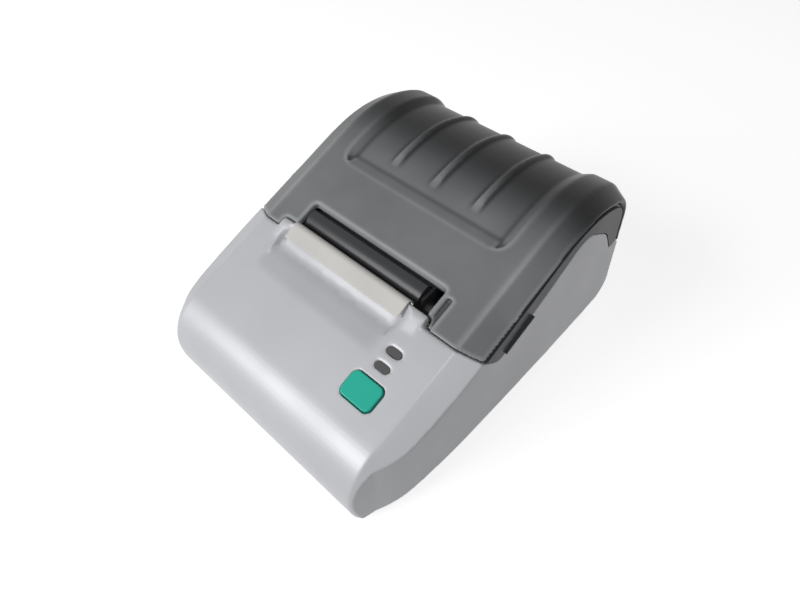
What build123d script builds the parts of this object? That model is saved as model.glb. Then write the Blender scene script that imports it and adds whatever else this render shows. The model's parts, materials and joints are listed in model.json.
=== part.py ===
"""Desktop receipt printer for 58 mm thermal paper, with a hinged drop-in cover.

Millimetres. X points to the printer's right as seen from the front, Y to the rear and Z up.
The origin is on the table under the middle of the printer. The cover is closed.
"""
from functools import lru_cache
from math import asin, atan2, cos, degrees, hypot, pi, radians, sin, sqrt, tan
import os

from build123d import *

# Outer form, seen from the side
half_length = 75.5
foot_height = 1.5
deck_slope = 22.0
nose_height = 16.2
nose_radius = 20.5
nose_bottom_y = -72.8
crest_start_y = 16.0
crest_radius = 60.0
back_radius = 51.0
back_turn = 26.0
shoulder_radius = 20.0
rear_lean = 5.6
rear_bend_height = 14.5

# Outer form, seen from above
flat_half_width = 47.0
chamfer_angle = 28.4
wing_reach = 11.0
widest_half = 56.8
widest_y = -26.5
side_draft = 1.15
form_top = 80.0

# Walls and gaps
wall = 2.4
seam = 0.35
cover_wall = 3.0
liner_gap = 0.1
liner_wall = 1.2
split_depth = 5.7
groove_width = 1.7
groove_depth = 1.1

# Sunken panel on the cover, with three raised lines
panel_front_y = 6.6
panel_front_run = 5.4
panel_half_width = 35.0
panel_side_run = 4.0
panel_depth = 1.9
panel_corner = 7.5
panel_end_z = 47.0
rib_middles = (-19.0, 0.2, 19.4)
rib_half_width = 1.2
rib_height = 1.1
rib_start_y = 14.5
rib_ramp = 8.0
rib_end_z = 50.0

# Cover hinge, a barrel along the cover's rear lower edge
hinge_y = 70.45
hinge_z = 38.4
barrel_radius = 2.6
hinge_pin_radius = 1.0
knuckle_inner = 28.0
knuckle_outer = 46.9
fork_inner = 35.3
fork_outer = 39.7

# Platen, the rubber roller that carries the paper past the head
platen_y = -15.0
platen_z = 43.5
platen_radius = 5.5
platen_left = -33.0
platen_right = 24.5
shaft_radius = 2.0
bushing_radius = 3.5
paper_thickness = 0.16
paper_left = -33.0
paper_right = 24.5

# Paper roll in its bay
roll_y = 36.5
roll_z = 30.8
roll_radius = 22.0
core_radius = 8.5
core_bore = 6.0
bay_radius = 26.0
bay_z = 34.5
bay_left = -33.8
bay_right = 25.3
bay_wall = 1.6

# Gear train on the right-hand side of the mechanism
module = 0.5
platen_teeth = 24
idler_teeth = 24
small_teeth = 16
big_teeth = 44
pinion_teeth = 12
pressure_angle = 20
tooth_tip = 0.75
tooth_root = 1.05
tooth_play = 0.05
flank_steps = 3
gear_face_width = 2.5
inner_gear_x = 30.0
outer_gear_x = 33.0
axle_radius = 1.0
idler_bearing = -90.0
compound_bearing = 200.0
motor_bearing = 205.0
motor_radius = 8.0
motor_length = 16.0

# Mechanism frame and head
frame_left = -36.8
frame_right = 28.5
gear_plate_left = 26.5
frame_front = -29.4
frame_rear = -8.3
frame_floor = 12.0
cheek_top = 46.2
head_face_y = -21.05
head_top = 45.8
ceramic_thickness = 1.0
heatsink_thickness = 2.0
heatsink_foot = 28.0
spring_xs = (-20.0, 12.0)
spring_z = 41.0
spring_radius = 1.5
spring_wire = 0.22
spring_pitch = 0.9
spring_length = 3.6
flex_left = -18.0
flex_right = -2.0
head_pivot_y = -23.2
head_pivot_z = 27.2
head_pivot_radius = 1.25

# Controls on the deck
button_x = 31.1
button_y = -52.2
button_width = 13.2
button_depth = 9.6
button_proud = 0.8
button_gap = 0.35
light_x = 31.2
light_ys = (-37.3, -43.0)
light_length = 6.2
light_width = 2.75
key_board_depth = 6.0

# Paper exit
ridge_left = -39.4
ridge_right = 33.2
ridge_rear = -21.9
ridge_rounding = 0.8
scoop_left = -35.2
scoop_right = 24.0
scoop_front = -40.6
scoop_rear = -29.6
scoop_depth = 1.35
scoop_rounding = 0.45
notch_left = -33.3
notch_right = 31.4
notch_rear = -11.6
lip_play = 0.5
tear_left = -33.4
tear_right = 26.1
tear_low = 46.4
tear_high = 51.0
tear_thickness = 0.4
tooth_pitch = 1.5
tooth_height = 0.6
liner_clear = 36.8
rebate_x = 34.6
rebate_y = -19.8
rebate_width = 2.2
rebate_length = 13.0
rebate_depth = 1.5
front_seam_y = -25.8

# Rear sockets
board_z = 4.4
board_thickness = 1.6
usb_x = 4.0
inlet_x = -19.0
drawer_x = 36.0
rocker_x = -38.0
rocker_z = 23.5
rocker_tilt = 9.0
rocker_depth = 2.7


def deck_z(y):
    """Height of the sloping top at a distance from the middle."""
    nose_end_y = -half_length + nose_radius * (1 - sin(radians(deck_slope)))
    nose_end_z = nose_height + nose_radius * cos(radians(deck_slope))
    return nose_end_z + (y - nose_end_y) * tan(radians(deck_slope))


def rear_y(z):
    """Where the outside of the leaning rear wall is at a height."""
    slope, turn, lean = radians(deck_slope), radians(back_turn), radians(rear_lean)
    top_y = crest_start_y + crest_radius * sin(slope) + back_radius * sin(turn)
    top_y += shoulder_radius * (cos(lean) - sin(turn))
    top_z = deck_z(crest_start_y) + crest_radius * (1 - cos(slope)) - back_radius * (1 - cos(turn))
    top_z -= shoulder_radius * (cos(turn) - sin(lean))
    return top_y + (top_z - z) * tan(lean)


def on_deck(x, y, depth=0.0):
    """A plane lying on the sloping top, sunk by depth, facing outwards."""
    lean = radians(deck_slope)
    origin = (x, y + depth * sin(lean), deck_z(y) - depth * cos(lean))
    return Plane(origin=origin, x_dir=(1, 0, 0), z_dir=(0, -sin(lean), cos(lean)))


def side_sheet(curves):
    """A face in the side view, from curves drawn as (Y, Z)."""
    return Plane.YZ * make_face(curves)


def side_polygon(points):
    """A straight-edged face in the side view."""
    return side_sheet(Polyline(*points, close=True))


def side_circle(y, z, radius):
    """A disc in the side view."""
    return Plane.YZ * (Pos(y, z) * Circle(radius))


def span(face, x_low, x_high):
    """Extrude a side-view face from one X to another."""
    return Pos(x_low, 0, 0) * extrude(face, amount=x_high - x_low)


def rod(y, z, radius, x_low, x_high):
    """A round bar along X."""
    return span(side_circle(y, z, radius), x_low, x_high)


def block(x_low, x_high, y_low, y_high, z_low, z_high):
    """An upright box given by its limits."""
    size = (x_high - x_low, y_high - y_low, z_high - z_low)
    return Pos(x_low, y_low, z_low) * Box(*size, align=(Align.MIN, Align.MIN, Align.MIN))


def side_outline():
    """Closed side view of the whole printer: nose, sloping deck, crest, back and belly."""
    nose = JernArc((-half_length, nose_height), (0, 1), nose_radius, -(90 - deck_slope))
    crest_start = (crest_start_y, deck_z(crest_start_y))
    deck = Line(nose @ 1, crest_start)
    crest = JernArc(crest_start, deck % 1, crest_radius, -deck_slope)
    back = JernArc(crest @ 1, crest % 1, back_radius, -back_turn)
    shoulder = JernArc(back @ 1, back % 1, shoulder_radius, -(90 - rear_lean - back_turn))
    drop = (shoulder @ 1).Y - rear_bend_height
    rear_end = ((shoulder @ 1).X + drop * tan(radians(rear_lean)), rear_bend_height)
    rear = Line(shoulder @ 1, rear_end)
    belly_radius = (rear_bend_height - foot_height) / (1 + sin(radians(rear_lean)))
    heel = JernArc(rear_end, rear % 1, belly_radius, -(90 + rear_lean))
    floor = Line(heel @ 1, (nose_bottom_y, foot_height))
    chin = TangentArc((-half_length, nose_height), (nose_bottom_y, foot_height), tangent=(0, -1))
    return nose + deck + crest + back + shoulder + rear + heel + floor + chin


@lru_cache
def side_face(inset=0.0):
    """The side view as a face, shrunk all round by inset."""
    face = side_sheet(side_outline())
    return offset(face, amount=-inset) if inset else face


def half_plan():
    """Right-hand edge of the plan view, rear to front."""
    rear = ThreePointArc((53.4, 90), (55.86, 29.5), (widest_half, widest_y))
    flank = TangentArc(rear @ 1, (55.6, -53.1), tangent=(0, -1))
    cheek = TangentArc(flank @ 1, (50.8, -67.2), tangent=flank % 1)
    corner = Line(cheek @ 1, (46.0, -85))
    return rear + flank + cheek + corner


@lru_cache
def plan_face(inset=0.0):
    """Plan view at table height: gently barrelled sides that turn in at the nose."""
    right = half_plan()
    left = mirror(right, about=Plane.YZ)
    closing = Line((-46.0, -85), (46.0, -85)) + Line((53.4, 90), (-53.4, 90))
    face = make_face(left + closing + right)
    if face.faces()[0].normal_at().Z < 0:
        face = -face
    return offset(face, amount=-inset) if inset else face


@lru_cache
def form(inset=0.0):
    """The printer's outer form, or the same form inset by a wall."""
    profile = side_face(inset)
    shift = inset * (sqrt(1 + tan(radians(chamfer_angle)) ** 2) - 1) / tan(radians(chamfer_angle))
    half = flat_half_width - shift
    core = extrude(profile, amount=half, both=True)
    tip = offset(profile, amount=-wing_reach * tan(radians(chamfer_angle)))
    wing = loft([Pos(half, 0, 0) * profile, Pos(half + wing_reach, 0, 0) * tip], ruled=True)
    block_of_plan = extrude(plan_face(inset), amount=form_top, taper=side_draft)
    return (core + wing + mirror(wing, about=Plane.YZ)) & block_of_plan


def cover_side(grow=0.0):
    """Side view of everything that belongs to the cover: above the seam and behind the deck."""
    points = [
        (front_seam_y, 95),
        (front_seam_y, 50.0),
        (-21.5, 46.5),
        (-12.6, 39.0),
        (35.5, 62.3),
        (54.0, 51.0),
        (61.7, 38.2),
        (hinge_y, 38.2),
        (hinge_y, hinge_z - barrel_radius),
        (95, hinge_z - barrel_radius),
        (95, 95),
    ]
    face = side_polygon(points)
    rounding = {(-12.6, 39.0): 4.0, (35.5, 62.3): 14.0, (54.0, 51.0): 20.0, (-21.5, 46.5): 6.0}
    for (y, z), radius in rounding.items():
        corner = [v for v in face.vertices() if hypot(v.Y - y, v.Z - z) < 0.01]
        face = fillet(corner, radius)
    face = face + side_circle(hinge_y, hinge_z, barrel_radius)
    return offset(face, amount=grow) if grow else face


@lru_cache
def cover_zone(grow=0.0):
    """The cover's side view made solid across the whole width."""
    return extrude(cover_side(grow), amount=70, both=True)


def flank_angle(base, radius, half_tooth):
    """Angle from a gear tooth's middle to its involute flank, at a radius."""
    roll = sqrt(max((radius / base) ** 2 - 1, 0))
    return half_tooth - (roll - atan2(roll, 1))


def gear_face(teeth, phase):
    """Spur gear outline with stub involute teeth; phase is the bearing of one tooth's middle."""
    pressure = radians(pressure_angle)
    pitch = module * teeth / 2
    base = pitch * cos(pressure)
    tip = pitch + tooth_tip * module
    root = pitch - tooth_root * module
    half_tooth = pi / (2 * teeth) - tooth_play / pitch + tan(pressure) - pressure
    start = max(base, root)
    radii = [start + (tip - start) * k / flank_steps for k in range(flank_steps + 1)]
    rising = [(r, -flank_angle(base, r, half_tooth)) for r in radii]
    if root < base:
        rising.insert(0, (root, rising[0][1] * 1.02))
    falling = [(r, -a) for r, a in reversed(rising)]
    points = []
    for tooth in range(teeth):
        middle = radians(phase) + 2 * pi * tooth / teeth
        points += [(r * cos(middle + a), r * sin(middle + a)) for r, a in rising + falling]
    return make_face(Polyline(*points, close=True))


def gear(teeth, phase, y, z, x_low, width, bore=0.0):
    """A spur gear with its axis along X."""
    face = Plane.YZ * (Pos(y, z) * gear_face(teeth, phase))
    if bore:
        face = face - side_circle(y, z, bore)
    return span(face, x_low, x_low + width)


def mating_phase(teeth_a, phase_a, bearing, teeth_b):
    """Bearing of a tooth on gear B that puts it in mesh with gear A, B lying at bearing from A."""
    pitch_a = 360 / teeth_a
    share = ((bearing - phase_a) / pitch_a) % 1
    return bearing + 180 - (0.5 - share) * 360 / teeth_b


def polar(y, z, distance, bearing):
    """A point at a distance and bearing in the side view."""
    return (y + distance * cos(radians(bearing)), z + distance * sin(radians(bearing)))


idler_y, idler_z = polar(platen_y, platen_z, module * (platen_teeth + idler_teeth) / 2, idler_bearing)
compound_y, compound_z = polar(idler_y, idler_z, module * (idler_teeth + small_teeth) / 2, compound_bearing)
motor_y, motor_z = polar(compound_y, compound_z, module * (big_teeth + pinion_teeth) / 2, motor_bearing)

platen_phase = 0.0
idler_phase = mating_phase(platen_teeth, platen_phase, idler_bearing, idler_teeth)
small_phase = mating_phase(idler_teeth, idler_phase, compound_bearing, small_teeth)
big_phase = 0.0
pinion_phase = mating_phase(big_teeth, big_phase, motor_bearing, pinion_teeth)


def web_line():
    """Straight run of paper from under the roll to under the platen, as its two ends."""
    platen_reach = platen_radius + paper_thickness / 2 + 0.05
    roll_reach = roll_radius + paper_thickness / 2 + 0.2
    run_y = roll_y - platen_y
    run_z = roll_z - platen_z
    slope = atan2(run_z, run_y) - asin((roll_reach - platen_reach) / hypot(run_y, run_z))
    down = (sin(slope), -cos(slope))
    start = (roll_y + roll_reach * down[0], roll_z + roll_reach * down[1])
    end = (platen_y + platen_reach * down[0], platen_z + platen_reach * down[1])
    return start, end, degrees(slope), platen_reach


def ridge_face():
    """Side view of the rounded lip that the paper is torn against."""
    front = (-30.4, deck_z(-30.4))
    climb = Line(front, (-25.3, 51.55))
    crown = TangentArc(climb @ 1, (-23.2, 52.15), tangent=climb % 1)
    fall = TangentArc(crown @ 1, (ridge_rear, 50.7), tangent=crown % 1)
    rest = Polyline(fall @ 1, (ridge_rear, 48.4), (-25.6, 47.2), (-30.4, deck_z(-30.4) - 2.0), front)
    return side_sheet(climb + crown + fall + rest)


def scoop():
    """Shallow hollow in the deck under the paper's end, as a cutter."""
    face = side_polygon([
        (scoop_front, deck_z(scoop_front) + 0.02),
        (scoop_rear, deck_z(scoop_rear) - scoop_depth),
        (scoop_rear + 1.0, deck_z(scoop_rear + 1.0) - scoop_depth + 0.5),
        (scoop_rear + 2.6, 51.5),
        (scoop_front, 51.5),
    ])
    cutter = span(face, scoop_left, scoop_right)
    low_edges = [e for e in cutter.edges() if e.length < 20 and e.center().Z < 49]
    return fillet(low_edges, scoop_rounding)


def screw_spots():
    """Middles of the four case screws, seen from above."""
    return [(46.0, -54.0), (-46.0, -54.0), (47.6, 50.0), (-47.6, 50.0)]


def body_shell():
    """Silver one-piece housing: nose, deck, side walls with rounded ears and rear wall."""
    shell = form() - form(wall)
    opening = extrude(belly_face(wall), amount=8)
    shell = shell - opening
    shell = shell - cover_zone(seam)
    ridge = span(ridge_face(), ridge_left, ridge_right)
    ends = [e for e in ridge.edges() if e.length < 8 and e.center().Z > 49.5 and abs(e.center().X) > 30]
    ridge = fillet(ends, ridge_rounding)
    shell = shell + ridge - scoop()
    shell = shell - block(26.2, 32.2, -23.3, -22.5, 51.2, 54)
    for x, y in screw_spots():
        tall = 50.0 if y < 0 else 30.0
        post = Pos(x, y, 3.8) * Cylinder(3.2, tall, align=(Align.CENTER, Align.CENTER, Align.MIN))
        side = 1 if x > 0 else -1
        rib = block(min(x, side * 56), max(x, side * 56), y - 0.8, y + 0.8, 3.8, 3.8 + tall)
        shell = shell + ((post + rib) & form(0.8) - cover_zone(3.0))
    for x, y in screw_spots():
        pilot = Pos(x, y, 0) * Cylinder(1.1, 18.0, align=(Align.CENTER, Align.CENTER, Align.MIN))
        shell = shell - pilot
    for x, y in key_board_spots():
        post = extrude(on_deck(x, y, key_board_depth) * Circle(2.1), amount=4.2)
        hole = extrude(on_deck(x, y, key_board_depth) * Circle(0.9), amount=3.0)
        shell = shell + (post - hole)
    shell = shell + hinge_forks()
    shell = shell - rear_openings()
    return shell - deck_openings()


def belly_face(inset):
    """Opening in the underside that the bottom plate fills."""
    plan = plan_face(inset)
    reach = Pos(0, (-70.2 + 61.0) / 2) * Rectangle(130, 61.0 + 70.2 - 2 * (inset - wall))
    return plan & reach


def both_sides(part):
    """A part with its mirror image on the printer's other side."""
    return part + mirror(part, about=Plane.YZ)


def hinge_forks():
    """Knuckles of the housing on the rear wall's top edge, each between two of the cover's."""
    neck = block(fork_inner, fork_outer, 68.6, hinge_y + 1.2, 33.8, hinge_z)
    fork = (neck + rod(hinge_y, hinge_z, barrel_radius, fork_inner, fork_outer)) & form(0.1)
    return both_sides(fork - rod(hinge_y, hinge_z, hinge_pin_radius, 30, 50))


def key_board_spots():
    """Middles of the key board's two screws, given on the deck."""
    return [(21.9, -37.0), (21.9, -58.5)]


def main_board_spots():
    """Middles of the main board's three screws, seen from above."""
    return [(31.5, -26.5), (40.5, 40.0), (-30.5, 58.5)]


def deck_openings():
    """Holes in the deck for the feed button and the two light windows."""
    hole = RectangleRounded(button_width + 2 * button_gap, button_depth + 2 * button_gap, 2.6)
    cut = extrude(on_deck(button_x, button_y, 5.0) * hole, amount=9)
    for y in light_ys:
        slot = SlotOverall(light_length, light_width)
        cut = cut + extrude(on_deck(light_x, y, 5.0) * slot, amount=9)
    return cut


def rear_openings():
    """Cut-outs in the rear wall for the sockets and the power switch."""
    usb = block(usb_x - 6.2, usb_x + 6.2, 66, 80, board_z + board_thickness, 17.5)
    inlet = block(inlet_x - 4.8, inlet_x + 4.8, 66, 80, board_z + board_thickness, 17.3)
    drawer = block(drawer_x - 6.9, drawer_x + 6.9, 66, 80, board_z + board_thickness, 19.3)
    rocker = extrude(on_rear(rocker_x, rocker_z, 12.0) * Rectangle(13.1, 19.1), amount=14.0)
    rim = extrude(on_rear(rocker_x, rocker_z, 1.0) * RectangleRounded(15.2, 21.2, 1.3), amount=4.0)
    return usb + inlet + drawer + rocker + rim


def bottom_plate():
    """Plate that closes the underside, with recesses for the feet and the screws."""
    plate = Pos(0, 0, foot_height) * extrude(belly_face(wall + 0.25), amount=2.2)
    for x, y in screw_spots():
        plate = plate - Pos(x, y, 0) * Cylinder(1.5, 10)
        plate = plate - Pos(x, y, foot_height) * Cylinder(3.0, 2.0)
    for x, y in frame_screw_spots():
        plate = plate - Pos(x, y, 0) * Cylinder(1.1, 10)
        plate = plate - Pos(x, y, foot_height) * Cylinder(2.1, 2.0)
    for x, y in foot_spots():
        plate = plate - Pos(x, y, foot_height) * Cylinder(5.2, 1.6)
    for x, y in main_board_spots():
        post = Pos(x, y, 3.6) * Cylinder(2.4, board_z - 3.6, align=(Align.CENTER, Align.CENTER, Align.MIN))
        plate = plate + post - Pos(x, y, 5) * Cylinder(0.9, 5)
    return plate


def foot_spots():
    """Middles of the four rubber feet, seen from above."""
    return [(36.0, -57.0), (-36.0, -57.0), (37.0, 50.0), (-37.0, 50.0)]


def rubber_feet():
    """Four soft pads pressed into the bottom plate."""
    pads = []
    for x, y in foot_spots():
        pad = Pos(x, y, 0) * Cylinder(5.0, 2.3, align=(Align.CENTER, Align.CENTER, Align.MIN))
        pads.append(chamfer(pad.edges().group_by(Axis.Z)[0], 0.5))
    return Compound(children=pads)


def case_screws():
    """Four self-tapping screws that hold the bottom plate to the shell."""
    screws = []
    for x, y in screw_spots():
        head = Pos(x, y, 1.55) * Cylinder(2.7, 0.9, align=(Align.CENTER, Align.CENTER, Align.MIN))
        shank = Pos(x, y, 1.6) * Cylinder(1.1, 11.0, align=(Align.CENTER, Align.CENTER, Align.MIN))
        screws.append(head + shank)
    return Compound(children=screws)


def bay_inside():
    """Side view of the space inside the paper bay: a round bucket with a ramp to the head."""
    lean = radians(web_line()[2])
    down = (sin(lean), -cos(lean))
    foot = (roll_y + bay_radius * down[0], bay_z + bay_radius * down[1])
    top_y = -8.0
    head = (top_y, foot[1] + (foot[0] - top_y) * tan(-lean))
    ramp = side_polygon([
        foot,
        (roll_y, bay_z),
        (roll_y + bay_radius, bay_z),
        (roll_y + bay_radius, 75),
        (top_y, 75),
        head,
    ])
    return ramp + side_circle(roll_y, bay_z, bay_radius)


def paper_bay():
    """Moulded bucket for the paper roll, with side cheeks and a ramp up to the mechanism."""
    inside = bay_inside()
    cheek_top = side_polygon([(-8.0, 20), (-8.0, 41.0), (22.0, 50.0), (52.0, 47.0), (64.3, 35.8), (64.3, 0),
                              (30, 0)])
    skin = offset(inside, amount=bay_wall) & side_polygon([(-8.0, 0), (-8.0, 60), (66, 60), (66, 0)])
    bucket = span(skin, bay_left - bay_wall, bay_right + bay_wall) - span(inside, bay_left, bay_right)
    bucket = bucket & span(cheek_top, -40, 40)
    legs = block(-30, -28, 26, 47, 3.7, 12) + block(18, 20, 26, 47, 3.7, 12)
    legs = legs - rod(roll_y, bay_z, bay_radius + 0.5, -60, 60)
    return bucket + legs


def paper_roll():
    """The paper wound on its core."""
    width = (paper_left, paper_right)
    return rod(roll_y, roll_z, roll_radius, *width) - rod(roll_y, roll_z, core_radius, -60, 60)


def roll_core():
    """Cardboard tube at the middle of the roll."""
    tube = rod(roll_y, roll_z, core_radius, paper_left, paper_right)
    return tube - rod(roll_y, roll_z, core_bore, -60, 60)


def paper_web():
    """Loose end of the paper: off the roll, round the platen, up the slot and over the lip."""
    start, end, slope, reach = web_line()
    run = Line(start, end)
    wrap = JernArc(end, run % 1, reach, -(180 - (90 - slope)))
    rise = Line(wrap @ 1, ((wrap @ 1).X, 50.5))
    curl = JernArc(rise @ 1, (0, 1), 2.3, 122)
    tail = Line(curl @ 1, curl @ 1 + (curl % 1) * 4.6)
    strips = [ribbon(piece, paper_thickness / 2) for piece in (run, wrap, rise, curl, tail)]
    return span(Plane.YZ * sum(strips[1:], strips[0]), paper_left, paper_right)


def ribbon(piece, half):
    """A thin closed strip on both sides of one line or arc."""
    steps = 1 if piece.geom_type == GeomType.LINE else 10
    left = []
    right = []
    for k in range(steps + 1):
        point = piece @ (k / steps)
        along = piece % (k / steps)
        side = Vector(-along.Y, along.X)
        left.append(point + side * half)
        right.append(point - side * half)
    return make_face(Polyline(*left, *reversed(right), close=True))


def print_frame():
    """Black moulding that carries the head, the motor, the gears and the platen's bearings."""
    _, end, slope, _ = web_line()
    guide_y = frame_rear
    lean = radians(slope)
    drop = 0.75 / cos(lean)
    guide_z = end[1] + (end[0] - guide_y) * tan(-lean) - drop
    guide = side_polygon([
        (guide_y, guide_z),
        (guide_y, 24.0),
        (-12.0, 16.0),
        (-20.5, 16.0),
        (-20.5, 43.0),
        (-15.0, 43.5),
        (end[0], end[1] - drop),
    ])
    guide = guide - side_circle(platen_y, platen_z, 6.5)
    core = span(guide, -33.2, 24.6)
    core = core - span(side_polygon([(-19, 18), (-10, 18), (-10, 26), (-19, 33)]), -28, 20)
    front_y = frame_front
    floor = block(frame_left, frame_right, front_y + 1.1, frame_rear, frame_floor, frame_floor + 6.0)
    front = block(frame_left, 8.0, front_y, front_y + 1.2, frame_floor, 43.5)
    front = front + block(8.0, frame_right, front_y, front_y + 1.2, frame_floor, frame_floor + 5.0)
    left_edge = [(front_y, frame_floor), (front_y, 42.0), (-26.0, 43.5)]
    left_cheek = span(cheek_face(left_edge), frame_left, frame_left + 1.8)
    gear_plate = [(-49.5, frame_floor), (-49.5, 27.5), (-33.0, 33.0), (-28.5, 38.5), (-24.0, 41.0)]
    right_cheek = span(cheek_face(gear_plate), gear_plate_left, frame_right)
    pivot_lug = block(23.5, gear_plate_left, -25.6, -20.6, 17.0, 29.4)
    frame = core + floor + front + left_cheek + right_cheek + pivot_lug
    for x in (-33.0, 22.5):
        frame = frame + block(x, x + 4.0, -27.5, -9.5, 3.7, 12.5)
    for x, y in frame_screw_spots():
        frame = frame - Pos(x, y, 3.0) * Cylinder(0.9, 9.0, align=(Align.CENTER, Align.CENTER, Align.MIN))
    frame = frame - rod(motor_y, motor_z, motor_radius + 0.25, 5.0, gear_plate_left)
    frame = frame - rod(motor_y, motor_z, 3.0, 20, 40)
    frame = frame - rod(idler_y, idler_z, axle_radius, 26, 40)
    frame = frame - rod(compound_y, compound_z, axle_radius, 26, 40)
    frame = frame - rod(head_pivot_y, head_pivot_z, head_pivot_radius + 0.05, -36.0, 25.6)
    return frame


def frame_screw_spots():
    """Middles of the mechanism's four screws, seen from above."""
    return [(-31.0, -24.5), (-31.0, -12.5), (24.5, -24.5), (24.5, -12.5)]


def cheek_face(front_edge):
    """Side plate with an open slot that the platen's bearing drops into."""
    rear_edge = [(-24.0, cheek_top), (frame_rear, cheek_top), (frame_rear, frame_floor)]
    plate = side_polygon(front_edge + rear_edge)
    slot = side_polygon([(-18.62, 43.5), (-18.62, 50), (-10.4, 50), (-11.38, 43.5)])
    return plate - slot - side_circle(platen_y, platen_z, bushing_radius + 0.12)


def platen_roller():
    """Rubber sleeve of the platen."""
    return rod(platen_y, platen_z, platen_radius, platen_left, platen_right) - rod(
        platen_y, platen_z, shaft_radius, -60, 60)


def platen_shaft():
    """Steel shaft of the platen."""
    return rod(platen_y, platen_z, shaft_radius, -37.6, inner_gear_x + gear_face_width)


def platen_gear():
    """Gear on the platen's right-hand end."""
    body = gear(platen_teeth, platen_phase, platen_y, platen_z, inner_gear_x, gear_face_width, shaft_radius)
    collar = rod(platen_y, platen_z, 3.2, inner_gear_x - 0.8, inner_gear_x)
    return body + (collar - rod(platen_y, platen_z, shaft_radius, 28, 40))


def idler_gear():
    """Idler between the platen gear and the reduction gear."""
    bore = axle_radius + 0.05
    return gear(idler_teeth, idler_phase, idler_y, idler_z, inner_gear_x, gear_face_width, bore)


def reduction_gear():
    """Two gears in one: small towards the idler, big towards the motor."""
    small = gear(small_teeth, small_phase, compound_y, compound_z, inner_gear_x, 3.0, axle_radius + 0.05)
    big = gear(big_teeth, big_phase, compound_y, compound_z, outer_gear_x, 2.2, axle_radius + 0.05)
    return small + big


def motor_pinion():
    """Motor shaft with its pinion."""
    pinion = gear(pinion_teeth, pinion_phase, motor_y, motor_z, outer_gear_x - 0.2, 2.6)
    return pinion + rod(motor_y, motor_z, 1.0, 12.0, outer_gear_x)


def gear_axles():
    """Two steel pins that the idler and the reduction gear turn on."""
    idler_pin = rod(idler_y, idler_z, axle_radius, gear_plate_left, 32.8)
    compound_pin = rod(compound_y, compound_z, axle_radius, gear_plate_left, 36.4)
    return Compound(children=[idler_pin, compound_pin])


def stepper_motor():
    """Round stepper motor with its mounting flange, on the inner side of the gear plate."""
    can = rod(motor_y, motor_z, motor_radius, gear_plate_left - motor_length, gear_plate_left)
    can = fillet(can.edges().filter_by(GeomType.CIRCLE).group_by(Axis.X)[0], 0.8)
    flange = side_polygon([
        (motor_y - 11, motor_z - 2.2),
        (motor_y - 11, motor_z + 2.2),
        (motor_y + 7, motor_z + 2.2),
        (motor_y + 7, motor_z - 2.2),
    ])
    plate = span(flange, gear_plate_left - 0.8, gear_plate_left)
    return can + plate - rod(motor_y, motor_z, 1.1, 0, 40)


def gear_cover():
    """Cap over the reduction gears, open at the top for the platen gear."""
    outline = (
        side_circle(compound_y, compound_z, 13.2)
        + side_circle(motor_y, motor_z, 5.6)
        + side_circle(idler_y, idler_z, 8.0)
    )
    outer = outline & side_polygon([(-60, 0), (-60, 36.5), (0, 36.5), (0, 0)])
    inner = offset(outline, amount=-1.0)
    cap = span(outer, frame_right, 37.4) - span(inner, frame_right, 36.4)
    cap = cap - rod(compound_y, compound_z, axle_radius, 30, 40)
    return cap - rod(platen_y, platen_z, 7.4, frame_right, 33.2)


def print_head():
    """Ceramic strip with the heating dots."""
    return block(-30.0, 21.5, head_face_y - ceramic_thickness, head_face_y, 33.0, head_top)


def head_heatsink():
    """Aluminium plate behind the ceramic strip, on its pivot rod."""
    back = head_face_y - ceramic_thickness
    plate = block(-31.0, 22.5, back - heatsink_thickness, back, heatsink_foot, head_top - 0.6)
    pivot = rod(head_pivot_y, head_pivot_z, head_pivot_radius, -35.9, 25.5)
    left_knuckle = rod(head_pivot_y, head_pivot_z, 2.2, -30.5, -24.0)
    right_knuckle = rod(head_pivot_y, head_pivot_z, 2.2, 1.0, 7.5)
    return plate + left_knuckle + right_knuckle + pivot


def head_springs():
    """Two coil springs that press the head against the platen."""
    springs = []
    seat_y = head_face_y - ceramic_thickness - heatsink_thickness - spring_wire - 0.02
    for x in spring_xs:
        coil = Helix(pitch=spring_pitch, height=spring_length, radius=spring_radius, center=(x, 0, 0),
                     direction=(0, 0, 1))
        wire = Plane(origin=coil @ 0, z_dir=coil % 0) * Circle(spring_wire)
        spring = sweep(wire, path=coil, is_frenet=True)
        springs.append(Pos(0, seat_y, spring_z) * Rot(90, 0, 0) * spring)
    return Compound(children=springs)


def head_flex():
    """Flat cable from the head down to the main board."""
    path = [(-24.6, 30.2), (-26.6, 24.0), (-26.6, 20.0), (-26.2, 20.0), (-26.2, 24.2), (-24.3, 30.2)]
    return span(side_polygon(path), flex_left, flex_right)


def platen_bracket():
    """Bent steel bracket under the cover: a flange and two ears that carry the platen."""
    flange = side_polygon([
        (-11.4, deck_z(-11.4) - 4.75),
        (0.0, deck_z(0.0) - 4.75),
        (0.0, deck_z(0.0) - 6.1),
        (-11.4, deck_z(-11.4) - 6.1),
    ])
    ear = side_polygon([
        (-11.4, deck_z(-11.4) - 4.75),
        (-4.0, deck_z(-4.0) - 4.75),
        (-10.6, 41.5),
        (-19.0, 41.5),
        (-19.6, 44.5),
        (-17.4, 50.3),
    ])
    ear = ear + side_circle(platen_y, platen_z, 5.0)
    bracket = span(flange, -34.6, 26.1) + span(ear, -34.6, -33.4) + span(ear, 24.9, 26.1)
    bracket = bracket - rod(platen_y, platen_z, bushing_radius, -60, 60)
    for x in (-28.0, 20.0):
        bracket = bracket - extrude(on_deck(x, -4.0, 12.0) * Circle(1.05), amount=10)
    return bracket


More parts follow.
